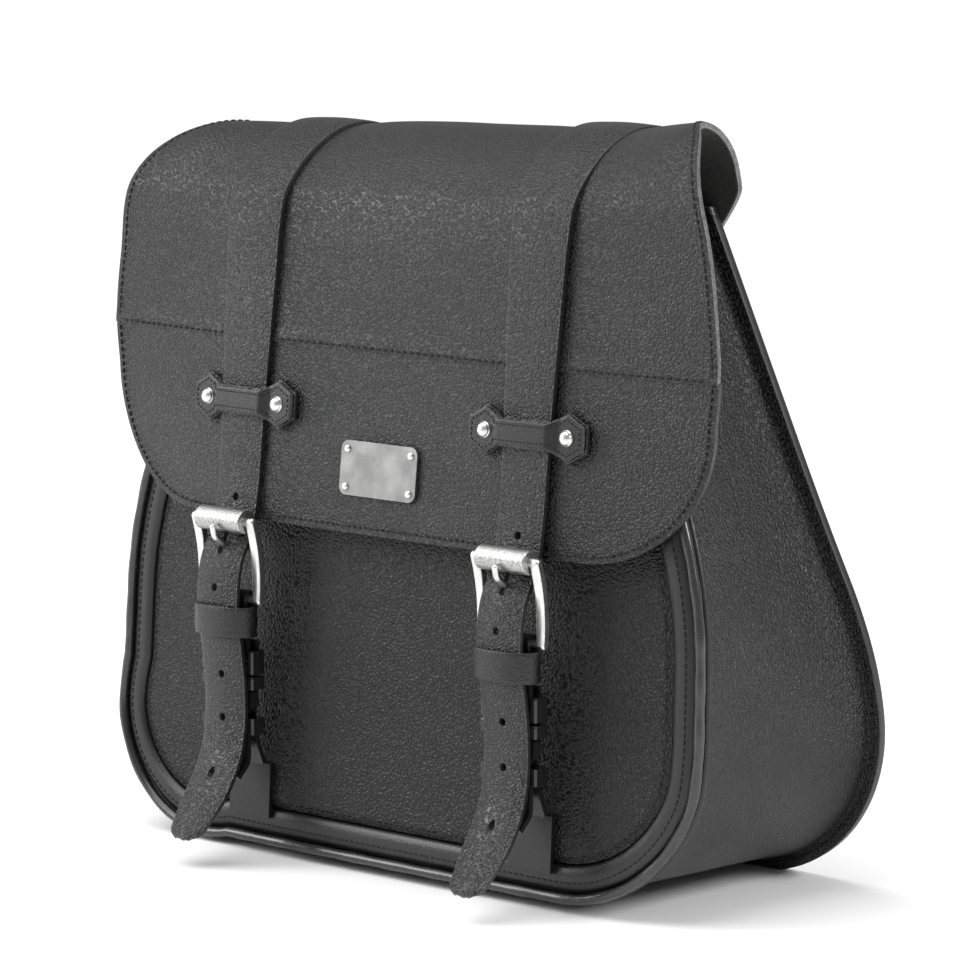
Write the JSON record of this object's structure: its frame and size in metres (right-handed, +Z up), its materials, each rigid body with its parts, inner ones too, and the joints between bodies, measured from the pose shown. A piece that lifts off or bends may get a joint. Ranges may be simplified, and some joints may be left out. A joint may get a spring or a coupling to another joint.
{
  "type": "motorcycle saddlebag",
  "caption": "Leather saddlebag for one side of a motorcycle: arched flap, long buckled straps with hidden side-release clips, riveted tabs, blank plate and bolt eyelets in the back.",
  "frame": {"origin": "middle of the bag's footprint, on the ground plane it stands on", "axes": "+Z up, the front faces -Y, +X to the right of a person facing the front"},
  "size_m": [0.365, 0.1801, 0.3412],
  "materials": {
    "body_leather": "pebbled grain, satin",
    "strap_leather": "fine grain, satin, dark burnished edges",
    "piping_leather": "smooth, glossy",
    "lining": "napped suede",
    "board": "matt stiffening sheet",
    "rivet_metal": "polished nickel",
    "plate_metal": "satin, brushed along its length",
    "buckle_metal": "polished nickel",
    "eyelet_metal": "antique nickel plate",
    "clip_plastic": "moulded, glossy"
  },
  "bodies": {
    "bag": {"back_panel": "body_leather", "back_lining": "lining", "back_stiffener": "board", "mounting_eyelets": "eyelet_metal", "gusset": "body_leather", "bottom_board": "board", "front_panel": "body_leather", "front_border": "body_leather", "front_piping": "piping_leather", "front_binding": "body_leather", "flap_rear_leaf": "body_leather", "rear_strap_left": "strap_leather", "rear_strap_right": "strap_leather", "rear_rivets": "rivet_metal", "lower_strap_left": "strap_leather", "lower_strap_right": "strap_leather"},
    "flap": {"flap_upper_panel": "body_leather", "flap_lower_panel": "body_leather", "name_plate": "plate_metal", "plate_rivets": "rivet_metal", "strap_left": "strap_leather", "strap_tab_left": "strap_leather", "tab_rivets_left": "rivet_metal", "buckle_frame_left": "buckle_metal", "keeper_loop_left": "strap_leather", "buckle_strap_left": "strap_leather", "clip_insert_left": "clip_plastic", "strap_right": "strap_leather", "strap_tab_right": "strap_leather", "tab_rivets_right": "rivet_metal", "buckle_frame_right": "buckle_metal", "keeper_loop_right": "strap_leather", "buckle_strap_right": "strap_leather", "clip_insert_right": "clip_plastic"},
    "buckle_roller_left": {"buckle_roller_left": "buckle_metal"},
    "buckle_prong_left": {"buckle_prong_left": "buckle_metal"},
    "clip_socket_left": {"clip_socket_left": "clip_plastic", "socket_strap_left": "strap_leather"},
    "clip_arm_left_outer": {"clip_arm_left_outer": "clip_plastic"},
    "clip_arm_left_inner": {"clip_arm_left_inner": "clip_plastic"},
    "buckle_roller_right": {"buckle_roller_right": "buckle_metal"},
    "buckle_prong_right": {"buckle_prong_right": "buckle_metal"},
    "clip_socket_right": {"clip_socket_right": "clip_plastic", "socket_strap_right": "strap_leather"},
    "clip_arm_right_outer": {"clip_arm_right_outer": "clip_plastic"},
    "clip_arm_right_inner": {"clip_arm_right_inner": "clip_plastic"}
  },
  "joints": [
    {"name": "flap_hinge", "type": "hinge", "parent": "bag", "child": "flap", "pos_m": [0, 0.03756, 0.31745], "axis": [-1, 0, 0], "range_deg": [0, 120]},
    {"name": "buckle_roller_left_spin", "type": "hinge", "parent": "flap", "child": "buckle_roller_left", "pos_m": [-0.086, -0.0635, 0.156], "axis": [1, 0, 0], "continuous": true},
    {"name": "buckle_prong_left_swing", "type": "hinge", "parent": "flap", "child": "buckle_prong_left", "pos_m": [-0.086, -0.0595, 0.12], "axis": [1, 0, 0], "range_deg": [0, 4]},
    {"name": "clip_socket_left_slide", "type": "slide", "parent": "bag", "child": "clip_socket_left", "axis": [0, 0, -1], "range_m": [0, 0.022]},
    {"name": "clip_arm_left_outer_squeeze", "type": "hinge", "parent": "flap", "child": "clip_arm_left_outer", "pos_m": [-0.0973, -0.0584, 0.0876], "axis": [0, -1, 0], "range_deg": [0, 6], "stiffness_Nm_per_rad": 0.02},
    {"name": "clip_arm_left_inner_squeeze", "type": "hinge", "parent": "flap", "child": "clip_arm_left_inner", "pos_m": [-0.0747, -0.0584, 0.0876], "axis": [0, 1, 0], "range_deg": [0, 6], "stiffness_Nm_per_rad": 0.02},
    {"name": "buckle_roller_right_spin", "type": "hinge", "parent": "flap", "child": "buckle_roller_right", "pos_m": [0.086, -0.0635, 0.156], "axis": [1, 0, 0], "continuous": true},
    {"name": "buckle_prong_right_swing", "type": "hinge", "parent": "flap", "child": "buckle_prong_right", "pos_m": [0.086, -0.0595, 0.12], "axis": [1, 0, 0], "range_deg": [0, 4]},
    {"name": "clip_socket_right_slide", "type": "slide", "parent": "bag", "child": "clip_socket_right", "axis": [0, 0, -1], "range_m": [0, 0.022]},
    {"name": "clip_arm_right_outer_squeeze", "type": "hinge", "parent": "flap", "child": "clip_arm_right_outer", "pos_m": [0.0973, -0.0584, 0.0876], "axis": [0, 1, 0], "range_deg": [0, 6], "stiffness_Nm_per_rad": 0.02},
    {"name": "clip_arm_right_inner_squeeze", "type": "hinge", "parent": "flap", "child": "clip_arm_right_inner", "pos_m": [0.0747, -0.0584, 0.0876], "axis": [0, -1, 0], "range_deg": [0, 6], "stiffness_Nm_per_rad": 0.02}
  ]
}
